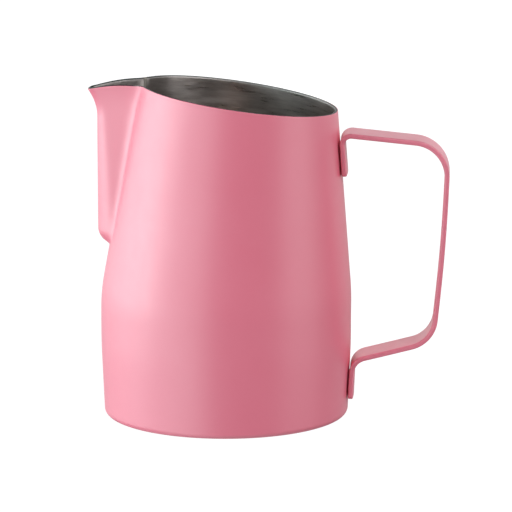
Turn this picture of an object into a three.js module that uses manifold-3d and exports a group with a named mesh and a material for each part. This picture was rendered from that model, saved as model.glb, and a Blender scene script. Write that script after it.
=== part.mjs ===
// A milk frothing pitcher: a pressed steel cup with a welded pouring spout, a strap handle spot
// welded to its wall, and a powder coat over the outside. Millimetres, +Z up, spout towards -X and
// handle towards +X. Inside this file the cup's foot is centred on the Z axis; the last lines move
// the whole pitcher so that the origin lies under the middle of its length.
import * as THREE from "three";
import { mergeGeometries, mergeVertices } from "three/addons/utils/BufferGeometryUtils.js";
import Module from "manifold-3d";

const wasm = await Module();
wasm.setup();

// Sheet and coat
const STEEL_THICKNESS = 0.8;
const COAT_THICKNESS = 0.2;
const COAT_CLEARANCE = 0.03;
const STEEL_DEPTH = COAT_THICKNESS + COAT_CLEARANCE;
const INNER_DEPTH = STEEL_DEPTH + STEEL_THICKNESS;
const COAT_BELOW_RIM = 0.25;

// Cup: a slightly tapered belly, then a cone whose centre leans towards the handle
const BELLY_RADIUS = 44;
const FOOT_RADIUS = 42.95;
const BELLY_HEIGHT = 25;
const KNEE_HEIGHT = 43.5;
const CONE_TAPER = 0.1316;
const KNEE_SOFTNESS = 0.7;
const KNEE_SPAN = 5;
const LEAN_START = 42.4;
const LEAN_SLOPE = 0.0534;
const LEAN_SOFTNESS = 0.5;

// Foot: a flat ring round a shallow recess. The coat covers its fillet at these angles below the
// horizontal, in degrees.
const FOOT_FILLET = 2;
const FILLET_CENTRE = FOOT_FILLET - STEEL_DEPTH;
const RECESS_RADIUS = 36;
const RECESS_DEPTH = 1.2;
const RECESS_SLOPE = 1.5;
const COATED_FILLET = [60, 35, 15];

// Rim: a plane that rises towards the spout; it steps down at the spout's root and dips along it
const RIM_HEIGHT = 113.1;
const RIM_SLOPE = 0.1435;
const SPOUT_ROOT = -27.2;
const RIM_STEP = 0.4;
const RIM_STEP_SPAN = 5.1;
const RIM_DIP = 0.053;
const RIM_DIP_CURVE = 0.009;
const HIGHEST_RIM = RIM_HEIGHT - RIM_SLOPE * SPOUT_ROOT;
const PRESS_START = 55;

// Spout: an upright V with a round nose, closed by a round end below and flared at its lip
const NOSE_X = -45;
const NOSE_RADIUS_LOW = 11.3;
const NOSE_RADIUS_HIGH = 4.3;
const SIDE_ANGLE_LOW = THREE.MathUtils.degToRad(18.8);
const SIDE_ANGLE_HIGH = THREE.MathUtils.degToRad(20.1);
const SPOUT_END_HEIGHT = 65.7;
const SPOUT_END_RADIUS = 5.4;
const SPOUT_BOTTOM = SPOUT_END_HEIGHT - SPOUT_END_RADIUS;
const SPOUT_FADE_START = 60;
const LIP_START = 105;
const LIP_FLARE = 0.037;
const CREASE_LOW = 1.8;
const CREASE_HIGH = 3.6;

// Spout weld: a seam that follows the crease, seen from the front as a V with a round bottom
const SEAM_HALF_WIDTH_TOP = 10.2;
const SEAM_BOTTOM = 58;
const SEAM_BOTTOM_RADIUS = 8.6;
const SEAM_WIDTH = 1;
const CUT_GAP = 0.3;
const CUT_TOP = HIGHEST_RIM + 8;
const CUT_BACK = -22;
const CUT_DEPTH = 34;

// Handle: one bent strap
const STRAP_WIDTH = 15.4;
const STRAP_THICKNESS = 1.75;
const STRAP_EDGE_RADIUS = 0.6;
const TAB_GAP = 0.2;
const TAB_CORNER_RADIUS = 0.9;
const TAB_OVERRUN = 1;
const UPPER_TAB_END = 85.2;
const LOWER_TAB_END = 6.1;
const UPPER_ARM = { height: 97.95, slope: -0.1 };
const LOWER_ARM = { height: 23.72, slope: 0.261 };
const GRIP = { top: 77.62, middle: 76.12, bottom: 72.82, height: 60 };
const BEND = { upper: 3.1, topCorner: 12, grip: 600, bottomCorner: 11, lower: 5.7 };
const HUG = 0.3;
const HUG_FADE = 12;

// Spot welds: two flat nuggets in the gap behind each tab
const WELD_SPACING = 7;
const WELD_RADIUS = 1.6;
const WELD_HEIGHTS = { upper: 91, lower: 11 };
const WELD_CLEARANCE = 0.03;

// Resolution
const TURN_SEGMENTS = 60;
const FRONT_CROWDING = 0.5;
const NORMAL_STEP = 0.01;
const RIM_STEPS = 30;
const BEND_STEP = 0.2;
const STRAP_STEPS = 8;
const CUTTER_SEGMENTS = 12;
const CORNER_SEGMENTS = 6;
const WELD_SEGMENTS = 20;
const MERGE_DISTANCE = 1e-4;

const { lerp, clamp } = THREE.MathUtils;

// The larger and the smaller of two lengths, with the corner between them rounded.
function softMax(a, b, softness) {
  const share = clamp(0.5 + (a - b) / (2 * softness), 0, 1);
  return lerp(b, a, share) + softness * share * (1 - share);
}
const softMin = (a, b, softness) => -softMax(-a, -b, softness);

// Radius and centre of the cup's round section at a height.
function cupRadius(z) {
  const foot = FOOT_RADIUS + ((BELLY_RADIUS - FOOT_RADIUS) * z) / BELLY_HEIGHT;
  const cone = BELLY_RADIUS - CONE_TAPER * (z - KNEE_HEIGHT);
  return softMin(softMin(foot, BELLY_RADIUS, KNEE_SOFTNESS / 4), cone, KNEE_SOFTNESS);
}
const cupCentre = (z) => softMax(0, LEAN_SLOPE * (z - LEAN_START), LEAN_SOFTNESS);
const handleWall = (z) => cupCentre(z) + cupRadius(z);

// The spout's foremost point at a height.
function noseX(z) {
  const below = clamp(SPOUT_END_HEIGHT - z, 0, SPOUT_END_RADIUS);
  const above = Math.max(z - LIP_START, 0);
  const roundEnd = SPOUT_END_RADIUS - Math.sqrt(SPOUT_END_RADIUS ** 2 - below ** 2);
  return NOSE_X + roundEnd - LIP_FLARE * above ** 2;
}

// Distance from the section's centre to the spout's V, along a ray at an angle from -X.
function spoutReach(angle, z) {
  const share = clamp((z - SPOUT_FADE_START) / (HIGHEST_RIM - SPOUT_FADE_START), 0, 1);
  const radius = lerp(NOSE_RADIUS_LOW, NOSE_RADIUS_HIGH, share);
  const side = lerp(SIDE_ANGLE_LOW, SIDE_ANGLE_HIGH, share);
  const noseCentre = cupCentre(z) - noseX(z) - radius;
  const tangent = Math.atan2(radius * Math.cos(side), noseCentre + radius * Math.sin(side));
  if (angle > Math.PI / 2) return 0;
  if (angle > tangent) return (noseCentre * Math.sin(side) + radius) / Math.sin(side + angle);
  const across = noseCentre * Math.sin(angle);
  return noseCentre * Math.cos(angle) + Math.sqrt(radius ** 2 - across ** 2);
}

// The outer surface above PRESS_START, at an angle round the section's centre and a height.
function outerPoint(angle, z) {
  const fromFront = Math.PI - Math.abs(angle);
  const share = clamp((z - SPOUT_FADE_START) / (HIGHEST_RIM - SPOUT_FADE_START), 0, 1);
  const crease = lerp(CREASE_LOW, CREASE_HIGH, share);
  const spout = z > SPOUT_BOTTOM ? spoutReach(fromFront, z) : 0;
  const reach = softMax(cupRadius(z), spout, crease);
  return new THREE.Vector3(
    cupCentre(z) + reach * Math.cos(angle),
    reach * Math.sin(angle),
    z,
  );
}

// The same surface moved inwards by a depth, square to the surface.
function wallPoint(angle, z, depth) {
  const point = outerPoint(angle, z);
  const around = outerPoint(angle + NORMAL_STEP, z).sub(outerPoint(angle - NORMAL_STEP, z));
  const up = outerPoint(angle, z + NORMAL_STEP).sub(outerPoint(angle, z - NORMAL_STEP));
  const normal = around.cross(up).normalize();
  return point.addScaledVector(normal, -depth);
}

// Height of the rim at an angle round the cup: where the wall meets the rim's surface.
function rimHeight(angle) {
  let z = RIM_HEIGHT;
  for (let i = 0; i < RIM_STEPS; i++) {
    const x = outerPoint(angle, z).x;
    const along = Math.max(SPOUT_ROOT - x, 0);
    const step = RIM_STEP * THREE.MathUtils.smoothstep(along, 0, RIM_STEP_SPAN);
    const dip = step + RIM_DIP * along + RIM_DIP_CURVE * along ** 2;
    z = lerp(z, RIM_HEIGHT - RIM_SLOPE * x - dip, 0.5);
  }
  return z;
}

// Turns a profile of (radius, height) points about Z.
function turn(profile) {
  const points = profile.map(([radius, height]) => new THREE.Vector2(radius, height));
  const geometry = new THREE.LatheGeometry(points, TURN_SEGMENTS);
  return geometry.rotateX(Math.PI / 2);
}

// Turns a surface's faces the other way.
function flip(geometry) {
  const index = geometry.getIndex();
  for (let i = 0; i < index.count; i += 3) {
    const first = index.getX(i);
    index.setX(i, index.getX(i + 1));
    index.setX(i + 1, first);
  }
  return geometry;
}

// Presses a turned blank into the finished cup: crowds its segments towards the front, then moves
// every point above PRESS_START to the finished wall at the same depth, below the slanted rim.
function press(geometry) {
  const position = geometry.getAttribute("position");
  for (let i = 0; i < position.count; i++) {
    const blank = new THREE.Vector3().fromBufferAttribute(position, i);
    const turned = Math.atan2(blank.y, blank.x);
    const angle = turned + FRONT_CROWDING * Math.sin(turned);
    const radius = Math.hypot(blank.x, blank.y);
    const depth = cupRadius(blank.z) - radius;
    const share = (blank.z - PRESS_START) / (HIGHEST_RIM - PRESS_START);
    const z = lerp(PRESS_START, rimHeight(angle), share);
    const pressed =
      share < 0
        ? new THREE.Vector3(radius * Math.cos(angle), radius * Math.sin(angle), blank.z)
            .setX(cupCentre(blank.z) + radius * Math.cos(angle))
        : wallPoint(angle, z, depth);
    position.setXYZ(i, pressed.x, pressed.y, pressed.z);
  }
  return geometry;
}

// A pressed sheet between an outside and an inside profile, which share their first and last
// points or start on the axis. Both faces are divided alike, so nested sheets never touch.
function sheet(outside, inside) {
  const faces = [press(turn(outside)), flip(press(turn(inside)))];
  const geometry = mergeGeometries(faces);
  geometry.deleteAttribute("normal");
  geometry.deleteAttribute("uv");
  const closed = mergeVertices(geometry, MERGE_DISTANCE);
  closed.computeVertexNormals();
  return closed;
}

// Heights of the coat's rows: close together where the wall bends, wider where it is straight.
function coatHeights() {
  const top = HIGHEST_RIM - COAT_BELOW_RIM;
  const rows = [
    [FILLET_CENTRE, BELLY_HEIGHT, 2],
    [BELLY_HEIGHT, KNEE_HEIGHT - KNEE_SPAN, 1],
    [KNEE_HEIGHT - KNEE_SPAN, KNEE_HEIGHT + KNEE_SPAN, 3],
    [KNEE_HEIGHT + KNEE_SPAN, SPOUT_BOTTOM, 1],
    [SPOUT_BOTTOM, SPOUT_END_HEIGHT, 4],
    [SPOUT_END_HEIGHT, LIP_START, 3],
    [LIP_START, top, 3],
  ];
  const heights = rows.flatMap(([from, to, steps]) =>
    Array.from({ length: steps }, (_, i) => lerp(from, to, i / steps)),
  );
  return [...heights, top];
}

// Rows of the blank's wall at a depth inside the outer surface.
const blankWall = (depth, heights) => heights.map((z) => [cupRadius(z) - depth, z]);

// Rows of the base fillet at a depth, at angles below the horizontal.
function baseFillet(depth, angles) {
  const centre = cupRadius(FILLET_CENTRE) - FOOT_FILLET;
  const radius = FOOT_FILLET - depth;
  return angles.map(THREE.MathUtils.degToRad).map((angle) => [
    centre + radius * Math.cos(angle),
    FILLET_CENTRE - radius * Math.sin(angle),
  ]);
}

// The steel cup before the spout is cut out: base with its recess, wall and rim.
function cupGeometry() {
  const edge = STEEL_THICKNESS / 4;
  const heights = [...coatHeights(), HIGHEST_RIM - edge];
  const rimRow = (depth, below) => [cupRadius(HIGHEST_RIM) - depth, HIGHEST_RIM - below];
  const outside = [
    [0, RECESS_DEPTH],
    [RECESS_RADIUS - RECESS_SLOPE, RECESS_DEPTH],
    [RECESS_RADIUS, 0],
    ...baseFillet(STEEL_DEPTH, [90, ...COATED_FILLET]),
    ...blankWall(STEEL_DEPTH, heights),
  ];
  const inside = [
    [0, RECESS_DEPTH + STEEL_THICKNESS],
    [RECESS_RADIUS - RECESS_SLOPE + STEEL_THICKNESS, RECESS_DEPTH + STEEL_THICKNESS],
    [RECESS_RADIUS + STEEL_THICKNESS / 2, STEEL_THICKNESS],
    ...baseFillet(INNER_DEPTH, [90, ...COATED_FILLET]),
    ...blankWall(INNER_DEPTH, heights),
  ];
  const rim = [rimRow(STEEL_DEPTH + edge, 0), rimRow(INNER_DEPTH - edge, 0)];
  return sheet([...outside, ...rim], [...inside, rim[1]]);
}

// The powder coat: a skin on the outside, from the base fillet to just below the rim.
function coatGeometry() {
  const heights = coatHeights();
  const skin = (depth) => [...baseFillet(depth, COATED_FILLET), ...blankWall(depth, heights)];
  const inside = skin(COAT_THICKNESS);
  return sheet([inside[0], ...skin(0), inside.at(-1)], inside);
}

// A geometry as a solid that can be cut, and back again.
function toSolid(geometry) {
  const bare = geometry.clone();
  bare.deleteAttribute("normal");
  bare.deleteAttribute("uv");
  const merged = mergeVertices(bare, MERGE_DISTANCE);
  return new wasm.Manifold(
    new wasm.Mesh({
      numProp: 3,
      vertProperties: merged.getAttribute("position").array,
      triVerts: new Uint32Array(merged.index.array),
    }),
  );
}
function toGeometry(solid) {
  const mesh = solid.getMesh();
  const geometry = new THREE.BufferGeometry();
  geometry.setAttribute("position", new THREE.BufferAttribute(mesh.vertProperties, 3));
  geometry.setIndex(new THREE.BufferAttribute(mesh.triVerts, 1));
  geometry.computeVertexNormals();
  return geometry;
}

// A block that reaches through the front wall, with the seam's V outline grown by a margin.
function spoutCutter(margin) {
  const centre = SEAM_BOTTOM + SEAM_BOTTOM_RADIUS;
  const radius = SEAM_BOTTOM_RADIUS + margin;
  const rise = CUT_TOP - centre;
  const tilt = Math.atan2(SEAM_HALF_WIDTH_TOP - SEAM_BOTTOM_RADIUS, HIGHEST_RIM - centre);
  const topHalfWidth = radius / Math.cos(tilt) + rise * Math.tan(tilt);
  const outline = new THREE.Shape();
  outline.moveTo(topHalfWidth, CUT_TOP);
  outline.lineTo(-topHalfWidth, CUT_TOP);
  outline.absarc(0, centre, radius, Math.PI + tilt, 2 * Math.PI - tilt, false);
  outline.closePath();
  const block = new THREE.ExtrudeGeometry(outline, {
    depth: CUT_DEPTH,
    bevelEnabled: false,
    curveSegments: CUTTER_SEGMENTS,
  });
  block.rotateX(Math.PI / 2).rotateZ(-Math.PI / 2).translate(CUT_BACK, 0, 0);
  return toSolid(block);
}

// The cup parted into its body, the spout, and the weld seam between them.
function cupPieces() {
  const cup = toSolid(cupGeometry());
  const half = SEAM_WIDTH / 2;
  return {
    body: toGeometry(cup.subtract(spoutCutter(half + CUT_GAP))),
    seam: toGeometry(cup.intersect(spoutCutter(half)).subtract(spoutCutter(-half))),
    spout: toGeometry(cup.intersect(spoutCutter(-half - CUT_GAP))),
  };
}

// Where two lines in the XZ plane cross, each given by a point and a direction.
function crossing(a, along, b, alongB) {
  const share = b.clone().sub(a).cross(alongB) / along.cross(alongB);
  return a.clone().addScaledVector(along, share);
}

// The strap's centre line: corner points, each with its bend radius.
function strapCorners() {
  const offset = TAB_GAP + STRAP_THICKNESS / 2;
  const tabPoint = (z) => new THREE.Vector2(handleWall(z) + offset, z);
  const armPoint = (arm) => new THREE.Vector2(GRIP.height, arm.height);
  const armRun = (arm) => new THREE.Vector2(1, arm.slope);
  const tabRun = (z) => tabPoint(z + TAB_OVERRUN).sub(tabPoint(z));
  const gripAt = (x, arm) => {
    const middle = new THREE.Vector2(GRIP.middle, GRIP.height);
    const end = new THREE.Vector2(x, arm.height + arm.slope * (x - GRIP.height));
    return { middle, run: end.sub(middle) };
  };
  const upperGrip = gripAt(GRIP.top, UPPER_ARM);
  const lowerGrip = gripAt(GRIP.bottom, LOWER_ARM);
  const upperTab = tabPoint(UPPER_TAB_END - TAB_OVERRUN);
  const lowerTab = tabPoint(LOWER_TAB_END - TAB_OVERRUN);
  const meet = (arm, point, run) => crossing(armPoint(arm), armRun(arm), point, run);
  return [
    [upperTab, 0],
    [meet(UPPER_ARM, upperTab, tabRun(UPPER_TAB_END)), BEND.upper],
    [meet(UPPER_ARM, upperGrip.middle, upperGrip.run), BEND.topCorner],
    [upperGrip.middle, BEND.grip],
    [meet(LOWER_ARM, lowerGrip.middle, lowerGrip.run), BEND.bottomCorner],
    [meet(LOWER_ARM, lowerTab, tabRun(LOWER_TAB_END)), BEND.lower],
    [lowerTab, 0],
  ];
}

// Points on both faces of the strap at one bend: two arcs about the bend's centre.
function bendFaces([corner, radius], before, after) {
  const into = corner.clone().sub(before).normalize();
  const out = after.clone().sub(corner).normalize();
  const turnAngle = Math.atan2(into.cross(out), into.dot(out));
  const side = Math.sign(turnAngle);
  const setback = radius * Math.tan(Math.abs(turnAngle) / 2);
  const start = corner.clone().addScaledVector(into, -setback);
  const normal = new THREE.Vector2(-into.y, into.x);
  const centre = start.clone().addScaledVector(normal, side * radius);
  const steps = Math.max(2, Math.ceil(Math.abs(turnAngle) / BEND_STEP));
  return Array.from({ length: steps + 1 }, (_, i) => {
    const spoke = normal.clone().multiplyScalar(-side);
    spoke.rotateAround(new THREE.Vector2(), (turnAngle * i) / steps);
    const at = (distance) => centre.clone().addScaledVector(spoke, distance);
    const half = (side * STRAP_THICKNESS) / 2;
    return { left: at(radius - half), right: at(radius + half) };
  });
}

// How far the round wall falls back behind its foremost point, beside the middle of a tab.
const fallBack = (y, z) => cupRadius(z) - Math.sqrt(cupRadius(z) ** 2 - y ** 2);

// Curves the tabs a little, towards the round wall. The curve fades out along the arms.
function hugWall(geometry) {
  const position = geometry.getAttribute("position");
  for (let i = 0; i < position.count; i++) {
    const x = position.getX(i);
    const z = position.getZ(i);
    const start = handleWall(z) + TAB_GAP + STRAP_THICKNESS;
    const share = 1 - THREE.MathUtils.smoothstep(x, start, start + HUG_FADE);
    position.setX(i, x - HUG * share * fallBack(position.getY(i), z));
  }
  return geometry;
}

// The bent strap's side outline, extruded across its width with rounded long edges.
function bentStrap() {
  const corners = strapCorners();
  const faces = corners.flatMap(([corner, radius], i) => {
    if (radius) return bendFaces([corner, radius], corners[i - 1][0], corners[i + 1][0]);
    const along = corners[Math.max(i, 1)][0].clone().sub(corners[Math.max(i, 1) - 1][0]);
    const normal = new THREE.Vector2(-along.y, along.x).setLength(STRAP_THICKNESS / 2);
    return [{ left: corner.clone().add(normal), right: corner.clone().sub(normal) }];
  });
  const outline = [...faces.map((f) => f.left), ...faces.map((f) => f.right).reverse()];
  const geometry = new THREE.ExtrudeGeometry(new THREE.Shape(outline), {
    depth: STRAP_WIDTH - 2 * STRAP_EDGE_RADIUS,
    steps: STRAP_STEPS,
    bevelThickness: STRAP_EDGE_RADIUS,
    bevelSize: STRAP_EDGE_RADIUS,
    bevelOffset: -STRAP_EDGE_RADIUS,
    bevelSegments: 2,
  });
  geometry.rotateX(Math.PI / 2);
  return hugWall(geometry.translate(0, STRAP_WIDTH / 2 - STRAP_EDGE_RADIUS, 0));
}

// What lies beyond a tab's rounded end, down to a little below it.
function tabEndCutter(end) {
  const radius = TAB_CORNER_RADIUS;
  const centre = STRAP_WIDTH / 2 - radius;
  const outside = STRAP_WIDTH / 2 + 1;
  const outline = new THREE.Shape();
  outline.moveTo(-outside, end - 2 * TAB_OVERRUN);
  outline.lineTo(outside, end - 2 * TAB_OVERRUN);
  outline.lineTo(outside, end + radius);
  outline.absarc(centre, end + radius, radius, 0, -Math.PI / 2, true);
  outline.absarc(-centre, end + radius, radius, -Math.PI / 2, -Math.PI, true);
  outline.lineTo(-outside, end + radius);
  outline.closePath();
  const block = new THREE.ExtrudeGeometry(outline, {
    depth: 4 * STRAP_THICKNESS,
    bevelEnabled: false,
    curveSegments: CORNER_SEGMENTS,
  });
  block.rotateX(Math.PI / 2).rotateZ(Math.PI / 2);
  return toSolid(block.translate(handleWall(end) - STRAP_THICKNESS, 0, 0));
}

// The strap handle, with both tabs cut to length and their corners rounded.
function strapGeometry() {
  const strap = toSolid(bentStrap());
  return toGeometry(
    strap.subtract(tabEndCutter(UPPER_TAB_END)).subtract(tabEndCutter(LOWER_TAB_END)),
  );
}

// A spot weld's nugget, in the gap between the wall and the tab, turned halfway between the two.
function weldGeometry(y, z) {
  const wallBack = fallBack(y, z);
  const gap = TAB_GAP + (1 - HUG) * wallBack;
  const wallTurn = Math.asin(y / cupRadius(z));
  const edgeLoss = Math.abs(wallTurn) * (1 - HUG) * WELD_RADIUS + fallBack(WELD_RADIUS, z);
  const length = gap - 2 * WELD_CLEARANCE - edgeLoss;
  const rise = handleWall(z + WELD_RADIUS) - handleWall(z - WELD_RADIUS);
  const lean = Math.atan2(rise, 2 * WELD_RADIUS);
  const nugget = new THREE.CylinderGeometry(WELD_RADIUS, WELD_RADIUS, length, WELD_SEGMENTS);
  nugget.rotateZ(Math.PI / 2).rotateY(lean).rotateZ((wallTurn * (1 + HUG)) / 2);
  return nugget.translate(handleWall(z) - wallBack + gap / 2, y, z);
}

const steelMaterial = () =>
  new THREE.MeshStandardMaterial({ color: 0x8b8680, roughness: 0.35, metalness: 1 });
const coatMaterial = () =>
  new THREE.MeshStandardMaterial({ color: 0xf0a3b2, roughness: 0.38, metalness: 0 });

function piece(name, geometry, material) {
  const mesh = new THREE.Mesh(geometry, material);
  mesh.name = name;
  return mesh;
}

const pitcher = new THREE.Group();
const cup = cupPieces();
pitcher.add(piece("body_shell", cup.body, steelMaterial()));
pitcher.add(piece("spout", cup.spout, steelMaterial()));
pitcher.add(piece("spout_weld_seam", cup.seam, steelMaterial()));
pitcher.add(piece("powder_coat", coatGeometry(), coatMaterial()));
pitcher.add(piece("handle_strap", strapGeometry(), coatMaterial()));
for (const [place, height] of Object.entries(WELD_HEIGHTS))
  for (const [hand, side] of [["left", -1], ["right", 1]]) {
    const nugget = weldGeometry((side * WELD_SPACING) / 2, height);
    pitcher.add(piece(`${place}_weld_${hand}`, nugget, steelMaterial()));
  }

const length = new THREE.Box3().setFromObject(pitcher);
pitcher.position.x = -(length.min.x + length.max.x) / 2;

export default pitcher;
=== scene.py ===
import math

import bmesh
import bpy
import numpy as np
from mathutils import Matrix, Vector


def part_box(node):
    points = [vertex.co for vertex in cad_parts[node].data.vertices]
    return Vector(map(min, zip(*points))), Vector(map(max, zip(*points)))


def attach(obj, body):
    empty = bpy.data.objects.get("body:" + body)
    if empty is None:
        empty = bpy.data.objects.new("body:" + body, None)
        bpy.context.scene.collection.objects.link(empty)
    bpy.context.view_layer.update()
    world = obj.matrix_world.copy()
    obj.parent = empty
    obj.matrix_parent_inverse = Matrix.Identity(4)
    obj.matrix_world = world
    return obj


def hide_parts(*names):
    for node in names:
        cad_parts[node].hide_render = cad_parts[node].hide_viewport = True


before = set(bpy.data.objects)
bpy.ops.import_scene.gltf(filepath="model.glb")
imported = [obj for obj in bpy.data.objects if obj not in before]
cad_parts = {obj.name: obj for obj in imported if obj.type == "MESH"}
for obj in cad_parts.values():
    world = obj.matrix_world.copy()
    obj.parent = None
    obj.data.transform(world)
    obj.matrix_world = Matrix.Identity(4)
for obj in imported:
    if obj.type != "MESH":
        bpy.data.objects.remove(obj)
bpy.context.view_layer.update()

# Shapes are worked out in millimetres in the cup's own frame: the foot is centred on the Z axis, the
# spout points towards -X and the handle towards +X. Meshes are in metres.
MM = 0.001

# Sheet and coat. A depth is measured inwards from the coat's outer surface, square to it.
STEEL_THICKNESS = 0.8
COAT_THICKNESS = 0.2
COAT_EDGE = 0.12
STEEL_DEPTH = 0.23
INNER_DEPTH = STEEL_DEPTH + STEEL_THICKNESS
COAT_BELOW_RIM = 0.12
RIM_ROUNDING = 0.15

# Cup: a slightly tapered belly, then a cone whose centre leans towards the handle. The inset keeps the
# smooth wall inside the box of the faceted CAD wall.
FACET_INSET = 0.04
BELLY_RADIUS = 44 - FACET_INSET
FOOT_RADIUS = 42.95 - FACET_INSET
BELLY_HEIGHT = 25
KNEE_HEIGHT = 43.5
CONE_TAPER = 0.1316
KNEE_SOFTNESS = 0.7
LEAN_START = 42.4
LEAN_SLOPE = 0.0534
LEAN_SOFTNESS = 0.5

# Foot: a flat ring round a shallow recess. The coat ends partway round the fillet, in a thin edge.
FOOT_FILLET = 2
FILLET_CENTRE = FOOT_FILLET - STEEL_DEPTH
COATED_FILLET = math.radians(62)
COAT_END_TURN = 0.05
COAT_END_DEPTH = 0.08
RECESS_RADIUS = 36
RECESS_DEPTH = 1.2
RECESS_SLOPE = 2.4
RECESS_SPREAD = 0.4
RECESS_RINGS = (4, 12, 20, 28)

# Rim and spout. A pair holds the values at the spout's foot and at the rim.
RIM_HEIGHT = 113.07
RIM_SLOPE = 0.1435
SPOUT_ROOT = -27.2
RIM_STEP = 0.4
RIM_STEP_SPAN = 5.1
RIM_DIP = 0.053
RIM_DIP_CURVE = 0.009
HIGHEST_RIM = RIM_HEIGHT - RIM_SLOPE * SPOUT_ROOT
PRESS_START = 55
NOSE_X = -44.96
NOSE_RADIUS = (11.3, 4.3)
SIDE_ANGLE = (math.radians(18.8), math.radians(20.1))
SPOUT_END_HEIGHT = 65.7
SPOUT_END_RADIUS = 5.4
SPOUT_BOTTOM = SPOUT_END_HEIGHT - SPOUT_END_RADIUS
SPOUT_FADE_START = 60
LIP_START = 105
LIP_FLARE = 0.037
CREASE = (1.8, 3.6)

# Spout weld, seen from the front as a V with a round bottom. Its arc stops a little before its legs
# start, and one straight step joins them.
SEAM_HALF_WIDTH_TOP = 10.2
SEAM_BOTTOM = 58
SEAM_BOTTOM_RADIUS = 8.6
SEAM_WIDTH = 1
SEAM_CROWN = 0.06
SEAM_CENTRE = SEAM_BOTTOM + SEAM_BOTTOM_RADIUS
SEAM_TILT = math.atan2(SEAM_HALF_WIDTH_TOP - SEAM_BOTTOM_RADIUS, HIGHEST_RIM - SEAM_CENTRE)
SEAM_LEG_START = SEAM_CENTRE + 1
SEAM_ARC_GAP = 0.12
SEAM_ARC_END = np.pi / 2 - SEAM_TILT - SEAM_ARC_GAP

# Handle: one bent strap. An arm is given by its height at ARM_X and its slope, and the grip by its X at
# the upper arm, at GRIP_HEIGHT and at the lower arm. The bends are radii, from the upper tab down.
STRAP_WIDTH = 15.4
STRAP_THICKNESS = 1.75
STRAP_EDGE_RADIUS = 0.6
TAB_GAP = 0.2
SMALLEST_EDGE_RADIUS = 0.02
TAB_CORNER_RADIUS = 0.9
TAB_CORNER_LIMIT = TAB_CORNER_RADIUS - 0.3
UPPER_TAB_END = 85.2
LOWER_TAB_END = 6.1
ARM_X = 60
UPPER_ARM = (97.95, -0.1)
LOWER_ARM = (23.72, 0.261)
GRIP_HEIGHT = 60
GRIP_TOP = 77.6
GRIP_MIDDLE = 76.1
GRIP_BOTTOM = 72.8
BENDS = (3.1, 12, 600, 11, 5.7)
BEND_STEP = math.radians(3)
HUG = 0.3
HUG_FADE = 12

# Spot welds behind the tabs
WELD_SPACING = 7
WELD_RADIUS = 1.6
WELD_BULGE = 0.12
WELD_CLEARANCE = 0.03
WELD_HEIGHTS = {"upper": 91, "lower": 11}

# Searches for the rim, for the seam's outline and for a point of the wall: their steps, the widest
# angle to look at, the least angle that an open row of the wall keeps, and the slack on heights
HALF_STEPS = 40
PLACING_STEPS = 12
WIDEST_SEAM = 1.2
LEAST_OPENING = 1e-4
HEIGHT_SLACK = 1e-6

# Crowding of the mesh's columns towards the seam, and towards the front of the coat
SEAM_CROWDING = 0.6
SPOUT_CROWDING = 0.45


# ---- The pressed wall --------------------------------------------------------------------------

def soft_max(a, b, softness):
    """The larger of two lengths, with the corner between them rounded."""
    share = np.clip(0.5 + (a - b) / (2 * softness), 0, 1)
    return b + (a - b) * share + softness * share * (1 - share)


def soft_min(a, b, softness):
    return -soft_max(-a, -b, softness)


def smoothstep(share):
    return share * share * (3 - 2 * share)


def mix(pair, share):
    return pair[0] + (pair[1] - pair[0]) * share


def cup_radius(z):
    foot = FOOT_RADIUS + (BELLY_RADIUS - FOOT_RADIUS) * z / BELLY_HEIGHT
    cone = BELLY_RADIUS - CONE_TAPER * (z - KNEE_HEIGHT)
    return soft_min(soft_min(foot, BELLY_RADIUS, KNEE_SOFTNESS / 4), cone, KNEE_SOFTNESS)


def cup_centre(z):
    return soft_max(0.0, LEAN_SLOPE * (z - LEAN_START), LEAN_SOFTNESS)


def handle_wall(z):
    return cup_centre(z) + cup_radius(z)


def nose_x(z):
    """The spout's foremost point at a height."""
    below = np.clip(SPOUT_END_HEIGHT - z, 0, SPOUT_END_RADIUS)
    above = np.maximum(z - LIP_START, 0)
    round_end = SPOUT_END_RADIUS - np.sqrt(SPOUT_END_RADIUS**2 - below**2)
    return NOSE_X + round_end - LIP_FLARE * above**2


def fade(z):
    """0 at the spout's foot, 1 at the highest rim."""
    return np.clip((z - SPOUT_FADE_START) / (HIGHEST_RIM - SPOUT_FADE_START), 0, 1)


def spout_reach(front, z):
    """Distance from the section's centre to the spout's V, along a ray at an angle from -X."""
    radius = mix(NOSE_RADIUS, fade(z))
    side = mix(SIDE_ANGLE, fade(z))
    centre = cup_centre(z) - nose_x(z) - radius
    tangent = np.arctan2(radius * np.cos(side), centre + radius * np.sin(side))
    across = centre * np.sin(front)
    nose = centre * np.cos(front) + np.sqrt(np.maximum(radius**2 - across**2, 0))
    flank = (centre * np.sin(side) + radius) / np.sin(side + np.minimum(front, np.pi / 2))
    reach = np.where(front > tangent, flank, nose)
    return np.where((front > np.pi / 2) | (z < SPOUT_BOTTOM), 0, reach)


def outer_point(front, z):
    """The outer surface at an angle from -X round the section's centre, and a height."""
    reach = soft_max(cup_radius(z), spout_reach(np.abs(front), z), mix(CREASE, fade(z)))
    return np.stack([cup_centre(z) - reach * np.cos(front), -reach * np.sin(front), z], -1)


def wall_point(front, z, depth):
    """The same surface moved inwards by a depth, square to the surface."""
    step = 0.01
    around = outer_point(front + step, z) - outer_point(front - step, z)
    up = outer_point(front, z + step) - outer_point(front, z - step)
    normal = np.cross(around, up)
    normal /= np.linalg.norm(normal, axis=-1, keepdims=True)
    return outer_point(front, z) - depth[..., None] * normal


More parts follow.
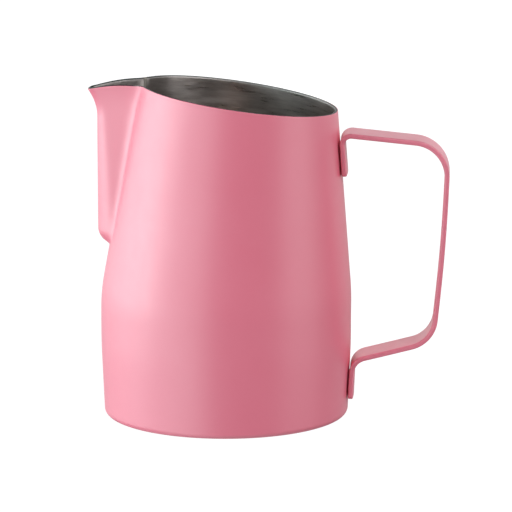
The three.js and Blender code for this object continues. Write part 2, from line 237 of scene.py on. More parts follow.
def rim_height(front):
    """Height where the wall meets the rim's surface, found by half steps."""
    z = np.full_like(front, RIM_HEIGHT)
    for _ in range(HALF_STEPS):
        x = outer_point(front, z)[..., 0]
        along = np.maximum(SPOUT_ROOT - x, 0)
        step = RIM_STEP * smoothstep(np.minimum(along / RIM_STEP_SPAN, 1))
        dip = step + RIM_DIP * along + RIM_DIP_CURVE * along**2
        z = (z + RIM_HEIGHT - RIM_SLOPE * x - dip) / 2
    return z


RIM_ANGLES = np.linspace(0, np.pi, 1441)
RIM_HEIGHTS = rim_height(RIM_ANGLES)


def pressed(front, blank, depth):
    """A point of the wall, from an angle, a height on the straight-topped blank and a depth."""
    front, blank, depth = np.broadcast_arrays(
        (np.asarray(front) + np.pi) % (2 * np.pi) - np.pi, blank, np.asarray(depth, float)
    )
    share = np.maximum((blank - PRESS_START) / (HIGHEST_RIM - PRESS_START), 0)
    rim = np.interp(np.abs(front), RIM_ANGLES, RIM_HEIGHTS)
    z = np.where(share > 0, PRESS_START + share * (rim - PRESS_START), blank)
    radius = cup_radius(z) - depth
    plain = np.stack([cup_centre(z) - radius * np.cos(front), -radius * np.sin(front), z], -1)
    return np.where((share > 0)[..., None], wall_point(front, z, depth), plain)


# ---- The seam ----------------------------------------------------------------------------------

def seam_half_width(z, margin):
    radius = SEAM_BOTTOM_RADIUS + margin
    rise = z - SEAM_CENTRE
    straight = radius / math.cos(SEAM_TILT) + rise * math.tan(SEAM_TILT)
    arc = np.sqrt(np.maximum(radius**2 - rise**2, 0))
    return np.where(rise < -radius * math.sin(SEAM_TILT), arc, straight)


def seam_angle(blank, depth, margin):
    """Angle from the front at which a row of the wall crosses the seam's outline, 0 below it."""
    blank, depth = np.broadcast_arrays(blank, np.asarray(depth, float))
    low = np.zeros(blank.shape)
    high = np.full(blank.shape, WIDEST_SEAM)
    for _ in range(HALF_STEPS):
        middle = (low + high) / 2
        point = pressed(middle, blank, depth)
        outside = -point[..., 1] > seam_half_width(point[..., 2], margin)
        high = np.where(outside, middle, high)
        low = np.where(outside, low, middle)
    above = pressed(np.zeros(blank.shape), blank, depth)[..., 2] > SEAM_BOTTOM - margin
    return np.where(above, low, 0)


def point_at(side, height, depth):
    """The wall's point at a depth whose place in the front view is (side, height)."""
    side, height, depth = np.broadcast_arrays(side, height, np.asarray(depth, float))
    front = np.arcsin(side / cup_radius(height))
    blank = height.copy()
    for _ in range(PLACING_STEPS):
        point = pressed(front, blank, depth)
        front = front + (side + point[..., 1]) / cup_radius(height)
        blank = blank + (height - point[..., 2])
    return pressed(front, blank, depth)


# ---- Mesh helpers ------------------------------------------------------------------------------

# The cup's axis in the frame, found from the coat's furthest point towards the handle
LOWER_HEIGHTS = np.linspace(0, 60, 601)
AXIS_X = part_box("powder_coat")[1].x / MM - handle_wall(LOWER_HEIGHTS).max() - FACET_INSET

MERGE_DISTANCE = 3e-7
SMALLEST_EDGE = 1e-8


def make_piece(name, points, faces, sharp_degrees=38):
    """One closed mesh, from points in millimetres in the cup's frame."""
    mesh = bpy.data.meshes.new(name)
    mesh.from_pydata((np.asarray(points, float).reshape(-1, 3) * MM).tolist(), [], faces)
    bm = bmesh.new()
    bm.from_mesh(mesh)
    bmesh.ops.remove_doubles(bm, verts=bm.verts, dist=MERGE_DISTANCE)
    bmesh.ops.dissolve_degenerate(bm, dist=SMALLEST_EDGE, edges=bm.edges)
    bmesh.ops.recalc_face_normals(bm, faces=bm.faces)
    limit = math.radians(sharp_degrees)
    for face in bm.faces:
        face.smooth = True
    for edge in bm.edges:
        edge.smooth = edge.calc_face_angle(0) < limit
    bm.to_mesh(mesh)
    bm.free()
    obj = bpy.data.objects.new(name, mesh)
    obj.location.x = AXIS_X * MM
    bpy.context.scene.collection.objects.link(obj)
    return obj


def grid_faces(rows, columns, closed=False):
    """Quads between neighbouring rows of a grid of points; closed joins the last column to the first."""
    faces = []
    for i in range(rows - 1):
        for j in range(columns if closed else columns - 1):
            a = i * columns + j
            b = i * columns + (j + 1) % columns
            faces.append((a, b, b + columns, a + columns))
    return faces


def spread(*stretches):
    """Heights from stretches of (from, to, steps), without repeats."""
    parts = [np.linspace(start, end, steps, endpoint=False) for start, end, steps in stretches]
    return np.concatenate([*parts, [stretches[-1][1]]])


def crowded(columns):
    """Shares from 0 to 1, closer together at both ends."""
    t = np.linspace(0, 1, columns)
    return t - SEAM_CROWDING / (2 * np.pi) * np.sin(2 * np.pi * t)


def wall_rows(seam_bottom):
    """Heights of the wall's rows on the blank: close where the wall bends and at the seam's foot."""
    foot_turn = math.radians(75)
    spacing = 0.12
    rows = spread(
        (FILLET_CENTRE, 38, 20), (38, 50, 24), (50, 58, 10), (58, 74, 44), (74, 104, 50),
        (104, HIGHEST_RIM - RIM_ROUNDING, 34),
    )
    foot = seam_bottom + SEAM_BOTTOM_RADIUS * (1 - np.cos(np.linspace(0, foot_turn, 16)))
    kept = rows[np.min(np.abs(rows[:, None] - foot[None, :]), axis=1) > spacing]
    return np.sort(np.concatenate([kept, foot]))


def rim_rows():
    """Heights and depths over the flat edge of the sheet, from its outside to its inside."""
    turn = np.linspace(0, np.pi / 2, 5)[1:]
    height = HIGHEST_RIM - RIM_ROUNDING * (1 - np.sin(turn))
    inset = RIM_ROUNDING * (1 - np.cos(turn))
    depth = np.concatenate([STEEL_DEPTH + inset, (INNER_DEPTH - inset)[::-1]])
    return np.concatenate([height, height[::-1]]), depth


def ring(radius, height, front):
    return np.stack([-radius * np.cos(front), -radius * np.sin(front), np.full_like(front, height)], -1)


def base_rings(depth):
    """(radius, height) pairs of the base, from near its middle out to the foot of the wall."""
    lift = depth - STEEL_DEPTH
    share = np.linspace(0, 1, 9)
    recess = RECESS_RADIUS - RECESS_SLOPE * (1 - share) + RECESS_SPREAD * lift
    rings = [(radius, RECESS_DEPTH + lift) for radius in RECESS_RINGS]
    rings += list(zip(recess, lift + RECESS_DEPTH * (1 - smoothstep(share))))
    centre = cup_radius(FILLET_CENTRE) - FOOT_FILLET
    for turn in np.linspace(np.pi / 2, 0, 11)[:-1]:
        radius = FOOT_FILLET - depth
        rings.append((centre + radius * math.cos(turn), FILLET_CENTRE - radius * math.sin(turn)))
    return rings


# ---- Pieces ------------------------------------------------------------------------------------

def body_piece():
    """The steel cup without its spout: base, wall, rim, and the two edges along the seam."""
    columns = 281
    share = crowded(columns)
    margin = SEAM_WIDTH / 2
    heights = wall_rows(SEAM_BOTTOM - margin)
    over_height, over_depth = rim_rows()
    blank = np.concatenate([heights, over_height, heights[::-1]])
    depth = np.concatenate(
        [np.full(len(heights), STEEL_DEPTH), over_depth, np.full(len(heights), INNER_DEPTH)]
    )
    opening = seam_angle(blank, depth, margin)
    is_open = blank > SEAM_BOTTOM - margin + HEIGHT_SLACK
    opening = np.where(is_open, np.maximum(opening, LEAST_OPENING), 0)
    front = opening[:, None] + 2 * (np.pi - opening[:, None]) * share[None, :]
    wall = pressed(front, blank[:, None], depth[:, None])
    round_front = 2 * np.pi * share
    outer = [ring(radius, height, round_front) for radius, height in base_rings(STEEL_DEPTH)]
    inner = [ring(radius, height, round_front) for radius, height in base_rings(INNER_DEPTH)]
    rows = [*outer, *wall, *inner[::-1]]
    faces = grid_faces(len(rows), columns)
    last = len(rows) - 1
    for row in (0, last):
        faces.append(tuple(row * columns + j for j in range(columns - 1)))
    first = len(outer)
    count = len(heights)
    for column in (0, columns - 1):
        for i in range(count - 1):
            if not is_open[i + 1]:
                continue
            a = (first + i) * columns + column
            b = (first + len(blank) - 1 - i) * columns + column
            faces.append((a, a + columns, b - columns, b))
        top = first + count - 1
        cap = [(top + k) * columns + column for k in range(len(over_height) + 2)]
        faces.append(tuple(cap))
    return make_piece("body_steel", rows, faces)


def spout_piece():
    """The steel spout: its wall, rim, and the edges along the seam."""
    columns = 121
    share = np.linspace(-1, 1, columns)
    margin = -SEAM_WIDTH / 2
    bottom = SEAM_BOTTOM - margin
    heights = wall_rows(bottom)
    heights = heights[heights > bottom - HEIGHT_SLACK]
    over_height, over_depth = rim_rows()
    blank = np.concatenate([heights, over_height, heights[::-1]])
    depth = np.concatenate(
        [np.full(len(heights), STEEL_DEPTH), over_depth, np.full(len(heights), INNER_DEPTH)]
    )
    opening = np.maximum(seam_angle(blank, depth, margin), LEAST_OPENING)
    opening = np.where(blank > bottom + HEIGHT_SLACK, opening, 0)
    rows = pressed(opening[:, None] * share[None, :], blank[:, None], depth[:, None])
    faces = grid_faces(len(rows), columns)
    count = len(heights)
    for column in (0, columns - 1):
        for i in range(count - 1):
            a = i * columns + column
            b = (len(blank) - 1 - i) * columns + column
            faces.append((a, a + columns, b - columns, b))
        faces.append(tuple((count - 1 + k) * columns + column for k in range(len(over_height) + 2)))
    return make_piece("spout_steel", rows, faces)


def seam_piece():
    """The weld between body and spout, made flush by grinding: a strip along the V, slightly crowned
    inside.
    """
    across = np.linspace(-1, 1, 9) * SEAM_WIDTH / 2
    crown = SEAM_CROWN * (1 - (2 * across / SEAM_WIDTH) ** 2)
    half_steel = STEEL_THICKNESS / 2
    legs = spread((SEAM_LEG_START, HIGHEST_RIM - RIM_ROUNDING, 90))
    over = np.linspace(0, np.pi / 2, 5)[1:]
    leg_blank = np.concatenate([legs, HIGHEST_RIM - RIM_ROUNDING * (1 - np.sin(over))])
    inset = np.concatenate([np.zeros(len(legs)), RIM_ROUNDING * (1 - np.cos(over))])
    middle = STEEL_DEPTH + half_steel
    half = (half_steel - inset)[:, None]
    outside = np.repeat(middle - half, len(across), axis=1)
    inside = middle + half + crown[None, :] * half / half_steel
    depth = np.concatenate([outside, inside[:, ::-1]], axis=1)
    margin = np.concatenate([across, across[::-1]])[None, :]
    stations = pressed(seam_angle(leg_blank[:, None], depth, margin), leg_blank[:, None], depth)
    arc = []
    for turn in np.linspace(-SEAM_ARC_END, SEAM_ARC_END, 60):
        radius = SEAM_BOTTOM_RADIUS + np.concatenate([across, across[::-1]])
        depth = np.concatenate([np.full(len(across), STEEL_DEPTH), (INNER_DEPTH + crown)[::-1]])
        arc.append(point_at(radius * math.sin(turn), SEAM_CENTRE - radius * math.cos(turn), depth))
    mirror = np.array([1, -1, 1])
    rows = [*[s * mirror for s in stations[::-1]], *arc, *stations]
    columns = 2 * len(across)
    faces = grid_faces(len(rows), columns, closed=True)
    faces.append(tuple(range(columns)))
    faces.append(tuple((len(rows) - 1) * columns + j for j in range(columns)))
    return make_piece("seam_steel", rows, faces)


def coat_piece():
    """The powder coat: one skin over cup and spout, from the foot's fillet to below the rim."""
    columns = 400
    front = np.linspace(0, 2 * np.pi, columns, endpoint=False)
    front = front - SPOUT_CROWDING * np.sin(front)
    top = HIGHEST_RIM - COAT_BELOW_RIM
    heights = spread(
        (FILLET_CENTRE, 36, 22), (36, 52, 40), (52, 59, 12), (59, 72, 48), (72, 104, 60),
        (104, top - COAT_EDGE, 40),
    )
    centre = cup_radius(FILLET_CENTRE) - FOOT_FILLET

    def fillet(depth, turns):
        radius = FOOT_FILLET - depth
        return [
            ring(centre + radius * math.cos(turn), FILLET_CENTRE - radius * math.sin(turn), front)
            for turn in turns
        ]

    turns = np.linspace(COATED_FILLET, 0, 9)[:-1]
    end = COATED_FILLET + COAT_END_TURN
    edge = np.linspace(0, np.pi / 2, 5)[1:]
    rounded = [
        pressed(front, top - COAT_EDGE * (1 - math.sin(turn)), COAT_EDGE * (1 - math.cos(turn)))
        for turn in edge
    ]
    outside = [*fillet(COAT_END_DEPTH, [end]), *fillet(0, turns)]
    outside += [pressed(front, height, 0) for height in heights] + rounded
    inside = fillet(COAT_THICKNESS, [end, *turns])
    inside += [pressed(front, height, COAT_THICKNESS) for height in [*heights, top]]
    rows = [*outside, *inside[::-1], outside[0]]
    faces = grid_faces(len(rows), columns, closed=True)
    return make_piece("powder_coat_skin", rows, faces)


# ---- Handle ------------------------------------------------------------------------------------

def crossing(point, along, other, other_along):
    """Where two lines in the XZ plane cross."""
    gap = other - point
    share = (gap[0] * other_along[1] - gap[1] * other_along[0]) / (
        along[0] * other_along[1] - along[1] * other_along[0]
    )
    return point + along * share


def strap_corners():
    """Corner points of the strap's centre line, from the upper tab's end to the lower tab's."""
    offset = TAB_GAP + STRAP_THICKNESS / 2

    def tab_point(z):
        return np.array([handle_wall(z) + offset, z])

    def arm(height, slope):
        return np.array([ARM_X, height]), np.array([1, slope])

    def grip(x, height, slope):
        end = np.array([x, height + slope * (x - ARM_X)])
        return middle, end - middle

    middle = np.array([GRIP_MIDDLE, GRIP_HEIGHT])
    upper_tab, lower_tab = tab_point(UPPER_TAB_END), tab_point(LOWER_TAB_END)
    upper_run = tab_point(UPPER_TAB_END + 1) - upper_tab
    lower_run = tab_point(LOWER_TAB_END + 1) - lower_tab
    return [
        upper_tab,
        crossing(*arm(*UPPER_ARM), upper_tab, upper_run),
        crossing(*arm(*UPPER_ARM), *grip(GRIP_TOP, *UPPER_ARM)),
        middle,
        crossing(*arm(*LOWER_ARM), *grip(GRIP_BOTTOM, *LOWER_ARM)),
        crossing(*arm(*LOWER_ARM), lower_tab, lower_run),
        lower_tab,
    ]


def unit(vector):
    return vector / np.linalg.norm(vector)


def strap_path():
    """Points along the centre line and the direction across the sheet at each of them."""
    corners = strap_corners()
    points = [corners[0]]
    normals = []
    for corner, radius, before, after in zip(corners[1:-1], BENDS, corners, corners[2:]):
        into, out = unit(corner - before), unit(after - corner)
        turn = math.atan2(into[0] * out[1] - into[1] * out[0], into @ out)
        side = math.copysign(1, turn)
        start = corner - into * radius * math.tan(abs(turn) / 2)
        normal = np.array([-into[1], into[0]])
        centre = start + normal * side * radius
        steps = max(6, math.ceil(abs(turn) / BEND_STEP))
        if not normals:
            normals.append(normal)
        for angle in np.linspace(0, turn, steps + 1):
            spoke = -side * normal
            cos, sin = math.cos(angle), math.sin(angle)
            spoke = np.array([spoke[0] * cos - spoke[1] * sin, spoke[0] * sin + spoke[1] * cos])
            points.append(centre + spoke * radius)
            normals.append(-side * spoke)
    points.append(corners[-1])
    normals.append(normals[-1])
    return np.array(points), np.array(normals)


def resample_path(points, normals):
    """The path split into short steps, with extra ones close to both ends."""
    spacing = 1.5
    shortest = 0.02
    edge_shares = np.array([0, 0.03, 0.1, 0.25, 0.5, 0.75])
    lengths = np.concatenate([[0], np.cumsum(np.linalg.norm(np.diff(points, axis=0), axis=1))])
    total = lengths[-1]
    inner = np.arange(TAB_CORNER_RADIUS, total - TAB_CORNER_RADIUS, spacing)
    end = TAB_CORNER_RADIUS * (1 - np.cos(np.linspace(0, np.pi / 2, 13)))
    near = np.concatenate([STRAP_EDGE_RADIUS * edge_shares, end[3:-1]])
    along = np.unique(np.round(np.concatenate([near, inner, total - near, lengths[2:-2]]), 3))
    keep = np.concatenate([[True], np.diff(along) > shortest])
    along = along[keep]
    at = np.stack([np.interp(along, lengths, points[:, k]) for k in range(2)], -1)
    across = np.stack([np.interp(along, lengths, normals[:, k]) for k in range(2)], -1)
    across /= np.linalg.norm(across, axis=1, keepdims=True)
    return at, across, np.minimum(along, total - along)


def fall_back(y, z):
    """How far the round wall falls back behind its foremost point, beside the middle of a tab."""
    return cup_radius(z) - np.sqrt(cup_radius(z) ** 2 - y**2)


def hug_wall(points):
    """Curves the tabs a little, towards the round wall; the curve fades out along the arms."""
    x, y, z = points[..., 0], points[..., 1], points[..., 2]
    share = np.clip((x - handle_wall(z) - TAB_GAP - STRAP_THICKNESS) / HUG_FADE, 0, 1)
    kept = HUG * (1 - smoothstep(share))
    return np.stack([x - kept * fall_back(y, z), y, z], -1)


def strap_piece():
    """The bent strap: a rounded rectangle swept along the path, with rounded tab ends."""
    points, normals = strap_path()
    at, across, from_end = resample_path(points, normals)
    edge = STRAP_EDGE_RADIUS
    quarter = np.linspace(0, np.pi / 2, 6)
    straight = np.linspace(1, -1, 15)[1:-1]
    rows = []
    for centre, normal, distance in zip(at, across, from_end):
        left = max(TAB_CORNER_RADIUS - distance, 0)
        corner = TAB_CORNER_RADIUS - math.sqrt(TAB_CORNER_RADIUS**2 - left**2)
        close = max(edge - distance, 0)
        inset = edge - math.sqrt(edge**2 - close**2)
        half_width = STRAP_WIDTH / 2 - min(corner, TAB_CORNER_LIMIT) - inset
        half_height = STRAP_THICKNESS / 2 - inset
        radius = max(edge - inset, SMALLEST_EDGE_RADIUS)
        outline = []
        for quadrant, (sx, sy) in enumerate(((1, 1), (-1, 1), (-1, -1), (1, -1))):
            for turn in quarter:
                angle = turn + quadrant * np.pi / 2
                outline.append(
                    (
                        sx * (half_width - radius) + radius * math.cos(angle),
                        sy * (half_height - radius) + radius * math.sin(angle),
                    )
                )
            if quadrant in (0, 2):
                outline += [(sx * share * (half_width - radius), sy * half_height) for share in straight]
        rows.append(
            [(centre[0] + normal[0] * v, u, centre[1] + normal[1] * v) for u, v in outline]
        )
    columns = len(rows[0])
    faces = grid_faces(len(rows), columns, closed=True)
    for row in (0, len(rows) - 1):
        first, last = row * columns, (row + 1) * columns - 1
        faces += [(first + j, first + j + 1, last - j - 1, last - j) for j in range(columns // 2 - 1)]
    strap = make_piece("handle_strap_coated", hug_wall(np.array(rows)), faces, sharp_degrees=50)
    strap.modifiers.new("flat_faces_stay_flat", "WEIGHTED_NORMAL").keep_sharp = True
    return strap


def weld_piece(name, side, height):
    """A spot weld's nugget: a disc with a bulging edge in the gap behind a tab."""
    wall_turn = math.asin(side / cup_radius(height))
    turned = wall_turn * (1 + HUG) / 2
    wall_back = fall_back(side, height)
    gap = TAB_GAP + (1 - HUG) * wall_back
    tilt = WELD_RADIUS * abs(wall_turn) * (1 - HUG)
    length = gap - 2 * WELD_CLEARANCE - tilt - fall_back(WELD_RADIUS, height)
    rise = handle_wall(height + WELD_RADIUS) - handle_wall(height - WELD_RADIUS)
    lean = math.atan2(rise, 2 * WELD_RADIUS)
    turn = np.linspace(0, 2 * np.pi, 40, endpoint=False)
    rows = []
    for share in np.linspace(-1, 1, 7):
        radius = WELD_RADIUS * (1 - WELD_BULGE * share**2)
        along = np.full_like(turn, share * length / 2)
        rows.append(np.stack([along, radius * np.cos(turn), radius * np.sin(turn)], -1))
    points = np.concatenate(rows)
    leaned = points.copy()
    leaned[:, 0] = points[:, 0] * math.cos(lean) + points[:, 2] * math.sin(lean)
    leaned[:, 2] = points[:, 2] * math.cos(lean) - points[:, 0] * math.sin(lean)
    x, y = leaned[:, 0], leaned[:, 1]
    placed = np.stack(
        [
            handle_wall(height) - wall_back + gap / 2 + x * math.cos(turned) - y * math.sin(turned),
            side + x * math.sin(turned) + y * math.cos(turned),
            height + leaned[:, 2],
        ],
        -1,
    )
    faces = grid_faces(len(rows), len(turn), closed=True)
    faces.append(tuple(range(len(turn))))
    faces.append(tuple((len(rows) - 1) * len(turn) + j for j in range(len(turn))))
    return make_piece(name, placed, faces)


# ---- Materials ---------------------------------------------------------------------------------

COAT_PINKS = ((0.825, 0.195, 0.275), (0.845, 0.215, 0.298))
STEEL_GREYS = ((0.62, 0.56, 0.53), (0.86, 0.79, 0.755))
WELD_GREYS = ((0.22, 0.205, 0.19), (0.27, 0.25, 0.225))
FLOOR_GREYS = ((0.08, 0.08, 0.08), (0.1, 0.1, 0.1))
# Painted highlight: a near-white steel for the band just below the rim, standing in for light caught by the
# inner edge
PAINTED_RIM_HIGHLIGHT = (0.93, 0.88, 0.86, 1)
# Painted shade: a near-black steel mixed into the spout's trough
PAINTED_SPOUT_SHADE = (0.05, 0.048, 0.045, 1)
# Painted reflection: a near-black steel for the rim's edge, standing in for the dark surroundings it
# mirrors
PAINTED_DARK_EDGE = (0.05, 0.065, 0.06, 1)

# Distances below the rim where the painted highlight band and the painted dark reflection on the rim's edge
# start and are full, in millimetres
HIGHLIGHT_START_DEPTH = 0.85
HIGHLIGHT_FULL_DEPTH = 0.6
DARK_EDGE_START_DEPTH = 0.32
DARK_EDGE_FULL_DEPTH = 0.18
HIGHLIGHT_BAND_ROUGHNESS = 0.6

# X where the painted shade in the spout's steel starts and is full, and its share of the colour there
SPOUT_SHADE_START_X = -20
SPOUT_SHADE_FULL_X = -29
SPOUT_SHADE_SHARE = 0.55


class Nodes:
    """Short calls for building the node tree of a material or a world."""

    def __init__(self, owner, shader="Principled BSDF"):
        owner.use_nodes = True
        self.owner = owner
        self.tree = owner.node_tree
        self.shader = self.tree.nodes[shader]

    def add(self, kind, inputs=None, **settings):
        node = self.tree.nodes.new(kind)
        for key, value in settings.items():
            setattr(node, key, value)
        for key, value in (inputs or {}).items():
            if isinstance(value, bpy.types.NodeSocket):
                self.tree.links.new(value, node.inputs[key])
            else:
                node.inputs[key].default_value = value
        return node

    def math(self, operation, *values):
        return self.add("ShaderNodeMath", dict(enumerate(values)), operation=operation).outputs[0]

    def noise(self, vector, scale, detail=2, roughness=0.5):
        inputs = {"Vector": vector, "Scale": scale, "Detail": detail, "Roughness": roughness}
        return self.add("ShaderNodeTexNoise", inputs).outputs["Fac"]

    def ramp(self, value, low, high, to_low, to_high, kind="LINEAR"):
        inputs = {0: value, 1: low, 2: high, 3: to_low, 4: to_high}
        return self.add("ShaderNodeMapRange", inputs, interpolation_type=kind).outputs[0]

    def colours(self, value, low, high, pair):
        """The pair's first colour up to a low value, its second from a high one, and between them a mix."""
        node = self.add("ShaderNodeValToRGB", {"Fac": value})
        for element, place, colour in zip(node.color_ramp.elements, (low, high), pair):
            element.position = place
            element.color = (*colour, 1)
        return node.outputs["Color"]

    def turn_into(self, share, first, second):
        """A colour that goes from the first to the second as the share goes from 0 to 1."""
        return self.add("ShaderNodeMix", {0: share, 6: first, 7: second}, data_type="RGBA").outputs[2]

    def bump(self, height, distance, strength, below=None):
        inputs = {"Height": height, "Distance": distance, "Strength": strength}
        if below is not None:
            inputs["Normal"] = below
        return self.add("ShaderNodeBump", inputs).outputs["Normal"]

    def link(self, output, socket):
        self.tree.links.new(output, self.shader.inputs[socket])

    def set(self, **values):
        for socket, value in values.items():
            self.shader.inputs[socket.replace("_", " ")].default_value = value


def coat_material():
    """Satin powder coat: faint mottling, and fine orange peel over long, shallow waves."""
    n = Nodes(bpy.data.materials.new("pink_powder_coat"))
    place = n.add("ShaderNodeTexCoord").outputs["Object"]
    cloud = n.noise(place, 28, detail=3)
    speck = n.noise(place, 1500, detail=2)
    blend = n.math("ADD", n.math("MULTIPLY", cloud, 0.8), n.math("MULTIPLY", speck, 0.2))
    n.link(n.colours(blend, 0.3, 0.7, COAT_PINKS), "Base Color")
    n.link(n.ramp(n.noise(place, 260, detail=3), 0.3, 0.7, 0.33, 0.39), "Roughness")
    peel = n.noise(place, 900, detail=2)
    wave = n.noise(place, 180, detail=1)
    n.link(n.bump(peel, 0.00005, 0.35, n.bump(wave, 0.00012, 0.12)), "Normal")
    n.set(Metallic=0.0, IOR=1.5, Specular_IOR_Level=1.0)
    return n.owner


def below_rim(n, x, z):
    """Distance below the rim's surface, in metres, from a point's place in the cup's own frame."""
    along = n.math("MAXIMUM", n.math("SUBTRACT", SPOUT_ROOT * MM, x), 0.0)
    step = n.ramp(along, 0, RIM_STEP_SPAN * MM, 0, RIM_STEP * MM, "SMOOTHSTEP")
    curve = n.math("MULTIPLY", n.math("MULTIPLY", along, along), RIM_DIP_CURVE / MM)
    dip = n.math("ADD", n.math("ADD", step, n.math("MULTIPLY", along, RIM_DIP)), curve)
    level = n.math("ADD", n.math("ADD", z, n.math("MULTIPLY", x, RIM_SLOPE)), dip)
    return n.math("SUBTRACT", RIM_HEIGHT * MM, level)


def steel_material():
    """Bare stainless steel, brushed round the cup's axis, with painted shade darkening the spout, a painted
    highlight band below the rim and a painted dark reflection on the rim's edge.
    """
    n = Nodes(bpy.data.materials.new("brushed_steel"))
    place = n.add("ShaderNodeTexCoord").outputs["Object"]
    parts = n.add("ShaderNodeSeparateXYZ", {"Vector": place})
    x, y, z = (parts.outputs[axis] for axis in "XYZ")
    radius = n.math("SQRT", n.math("ADD", n.math("MULTIPLY", x, x), n.math("MULTIPLY", y, y)))
    safe = n.math("MAXIMUM", radius, 1 * MM)
    run = n.math("ADD", z, radius)

    def around(amount):
        turned = {
            "X": n.math("MULTIPLY", n.math("DIVIDE", x, safe), amount),
            "Y": n.math("MULTIPLY", n.math("DIVIDE", y, safe), amount),
            "Z": run,
        }
        return n.add("ShaderNodeCombineXYZ", turned).outputs[0]

    fine = n.noise(around(0.0012), 5200, detail=3, roughness=0.6)
    broad = n.noise(around(0.004), 900, detail=3, roughness=0.65)
    cloud = n.noise(place, 45, detail=2)
    lines = n.math("ADD", n.math("MULTIPLY", fine, 0.35), n.math("MULTIPLY", broad, 0.65))
    tone = n.math("ADD", n.math("MULTIPLY", lines, 0.8), n.math("MULTIPLY", cloud, 0.2))
    brushed = n.colours(tone, 0.38, 0.62, STEEL_GREYS)
    depth = below_rim(n, x, z)
    # Painted highlight: a near-white band of steel just below the rim, standing in for light caught by the
    # inner edge; the band is also rougher
    painted_highlight = n.ramp(depth, HIGHLIGHT_START_DEPTH * MM, HIGHLIGHT_FULL_DEPTH * MM, 0, 1)
    # Painted shade: the steel is darkened towards the spout's trough
    spout_shade = n.ramp(x, SPOUT_SHADE_START_X * MM, SPOUT_SHADE_FULL_X * MM, 0, SPOUT_SHADE_SHARE)
    # Painted dark reflection: the rim's edge is made near-black, standing in for the dark surroundings it
    # mirrors
    painted_dark_edge = n.ramp(depth, DARK_EDGE_START_DEPTH * MM, DARK_EDGE_FULL_DEPTH * MM, 0, 1)
    with_highlight = n.turn_into(painted_highlight, brushed, PAINTED_RIM_HIGHLIGHT)
    trough = n.turn_into(spout_shade, with_highlight, PAINTED_SPOUT_SHADE)
    n.link(n.turn_into(painted_dark_edge, trough, PAINTED_DARK_EDGE), "Base Color")
    n.link(n.ramp(painted_highlight, 0, 1, n.ramp(lines, 0.3, 0.7, 0.24, 0.40), HIGHLIGHT_BAND_ROUGHNESS), "Roughness")
    n.link(n.bump(lines, 0.00004, 0.35), "Normal")
    n.link(n.add("ShaderNodeTangent", direction_type="RADIAL", axis="Z").outputs[0], "Tangent")
    n.set(Metallic=1.0, Anisotropic=0.7, Anisotropic_Rotation=0.25)
    return n.owner


def weld_material():
    """Ground weld metal: a finer, duller steel with faint heat colour."""
    n = Nodes(bpy.data.materials.new("weld_steel"))
    place = n.add("ShaderNodeTexCoord").outputs["Object"]
    ripple = n.noise(place, 1400, detail=3)
    heat = n.noise(place, 160, detail=2)
    n.link(n.colours(heat, 0.3, 0.7, WELD_GREYS), "Base Color")
    n.link(n.ramp(ripple, 0.3, 0.7, 0.34, 0.5), "Roughness")
    n.link(n.bump(ripple, 0.00006, 0.5), "Normal")
    n.set(Metallic=1.0)
    return n.owner


def floor_material():
    """A pale floor that glows evenly, so that it shows no shadow."""
    n = Nodes(bpy.data.materials.new("pale_floor"))
    place = n.add("ShaderNodeTexCoord").outputs["Object"]
    cloud = n.noise(place, 12, detail=2)
    n.link(n.colours(cloud, 0.3, 0.7, FLOOR_GREYS), "Base Color")
    n.set(Roughness=0.9, Emission_Color=(1, 1, 1, 1), Emission_Strength=0.97)
    return n.owner


# ---- The object --------------------------------------------------------------------------------

coat = coat_material()
steel = steel_material()
weld = weld_material()


def finish_piece(obj, material, node):
    obj.data.materials.append(material)
    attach(obj, "root")
    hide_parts(node)


finish_piece(body_piece(), steel, "body_shell")
finish_piece(spout_piece(), steel, "spout")
finish_piece(seam_piece(), weld, "spout_weld_seam")
finish_piece(coat_piece(), coat, "powder_coat")
finish_piece(strap_piece(), coat, "handle_strap")
for level, height in WELD_HEIGHTS.items():
    for hand, side in (("left", -1), ("right", 1)):
        nugget = weld_piece(f"{level}_nugget_{hand}", side * WELD_SPACING / 2, height)
        finish_piece(nugget, weld, f"{level}_weld_{hand}")


# ---- Camera, floor and light -------------------------------------------------------------------

AZIMUTH = math.radians(3.4)
ELEVATION = math.radians(11.1)
CAMERA_DISTANCE = 1.15
TARGET_FROM_AXIS = 10.512
TARGET_HEIGHT = 55.589
TARGET = Vector(((TARGET_FROM_AXIS + AXIS_X) * MM, 0, TARGET_HEIGHT * MM))
SENSOR_WIDTH = 36
FOCAL_LENGTH = 230.5
NEAR_CLIP = 0.01
FLOOR_HALF = 3
FLOOR_DROP = 0.0001


def make_camera():
    back = Vector(
        (
            math.sin(AZIMUTH) * math.cos(ELEVATION),
            -math.cos(AZIMUTH) * math.cos(ELEVATION),
            math.sin(ELEVATION),
        )
    )
    data = bpy.data.cameras.new("Camera")
    data.sensor_width = SENSOR_WIDTH
    data.lens = FOCAL_LENGTH
    data.clip_start = NEAR_CLIP
    camera = bpy.data.objects.new("Camera", data)
    camera.location = TARGET + back * CAMERA_DISTANCE
    camera.rotation_mode = "QUATERNION"
    camera.rotation_quaternion = (-back).to_track_quat("-Z", "Y")
    bpy.context.scene.collection.objects.link(camera)
    bpy.context.scene.camera = camera


def make_floor():
    mesh = bpy.data.meshes.new("floor")
    half = FLOOR_HALF
    mesh.from_pydata(
        [(-half, -half, 0), (half, -half, 0), (half, half, 0), (-half, half, 0)], [], [(0, 1, 2, 3)]
    )
    floor = bpy.data.objects.new("floor", mesh)
    floor.location.z = -FLOOR_DROP
    floor.data.materials.append(floor_material())
    floor.visible_diffuse = False
    floor.visible_glossy = False
    floor.visible_shadow = False
    bpy.context.scene.collection.objects.link(floor)


# The red of the cool lights, where their green and blue are 1, and how lobes of light fall off
COOL_RED = 0.87
ROUND_FALL = 2.0
FLAT_TOPPED_FALL = 4.0


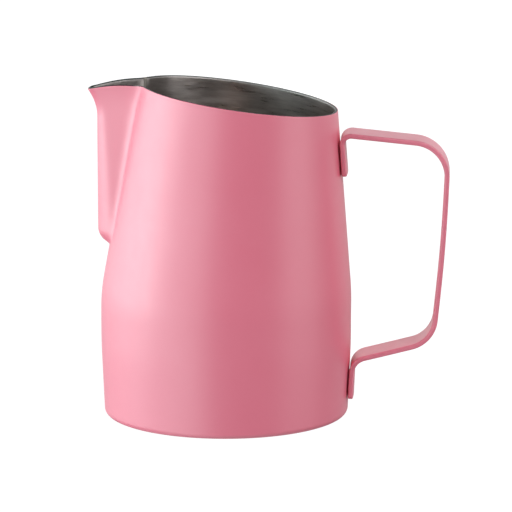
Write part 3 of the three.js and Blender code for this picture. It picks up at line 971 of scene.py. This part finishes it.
def make_world():
    """A white studio, as light by direction. Azimuth 0 is in front, 90 beside the handle."""
    world = bpy.data.worlds.new("studio")
    bpy.context.scene.world = world
    n = Nodes(world, "Background")
    direction = n.add("ShaderNodeTexCoord").outputs["Generated"]
    parts = n.add("ShaderNodeSeparateXYZ", {"Vector": direction})
    x, y, z = (parts.outputs[axis] for axis in "XYZ")
    azimuth = n.math("DEGREES", n.math("ARCTAN2", x, n.math("MULTIPLY", y, -1.0)))
    elevation = n.math("DEGREES", n.math("ARCSINE", z))

    def lobe(angle, middle, low, high, power=ROUND_FALL):
        """1 at the middle angle, falling off over a width of its own on either side."""
        gap = n.math("SUBTRACT", angle, middle)
        width = n.ramp(n.math("GREATER_THAN", gap, 0.0), 0, 1, low, high)
        fall = n.math("POWER", n.math("ABSOLUTE", n.math("DIVIDE", gap, width)), power)
        return n.math("EXPONENT", n.math("MULTIPLY", fall, -1.0))

    def flat_lobe(angle, middle, low, high):
        return lobe(angle, middle, low, high, FLAT_TOPPED_FALL)

    def light(level, around, up):
        return n.math("MULTIPLY", n.math("MULTIPLY", around, up), level)

    # Each light has a level, then a middle and two widths in degrees, round the object and upwards.
    beside_spout = light(5.7, lobe(azimuth, -77, 44, 18), lobe(elevation, 2, 18, 18))
    front_left = light(2.1, flat_lobe(azimuth, -38, 24, 24), lobe(elevation, -2, 48, 27))
    above_front = light(6.6, flat_lobe(azimuth, 36, 30, 30), flat_lobe(elevation, 48, 11, 11))
    beside_handle = light(1.6, flat_lobe(azimuth, 75, 22, 22), flat_lobe(elevation, 14, 34, 34))
    behind = light(1.05, n.ramp(y, -0.2, 0.8, 0, 1, "SMOOTHSTEP"), lobe(elevation, 14, 30, 30))
    below = n.ramp(elevation, -25, -60, 0, 0.5, "SMOOTHSTEP")
    cool = n.math("ADD", beside_spout, front_left)
    white = n.math("ADD", n.math("ADD", n.math("ADD", below, above_front), beside_handle), behind)
    red = n.math("ADD", white, n.math("MULTIPLY", cool, COOL_RED))
    rest = n.math("ADD", white, cool)
    n.link(n.add("ShaderNodeCombineColor", {"Red": red, "Green": rest, "Blue": rest}).outputs[0], "Color")
    n.set(Strength=1.0)


make_camera()
make_floor()
make_world()
bpy.context.scene.view_settings.view_transform = "Standard"
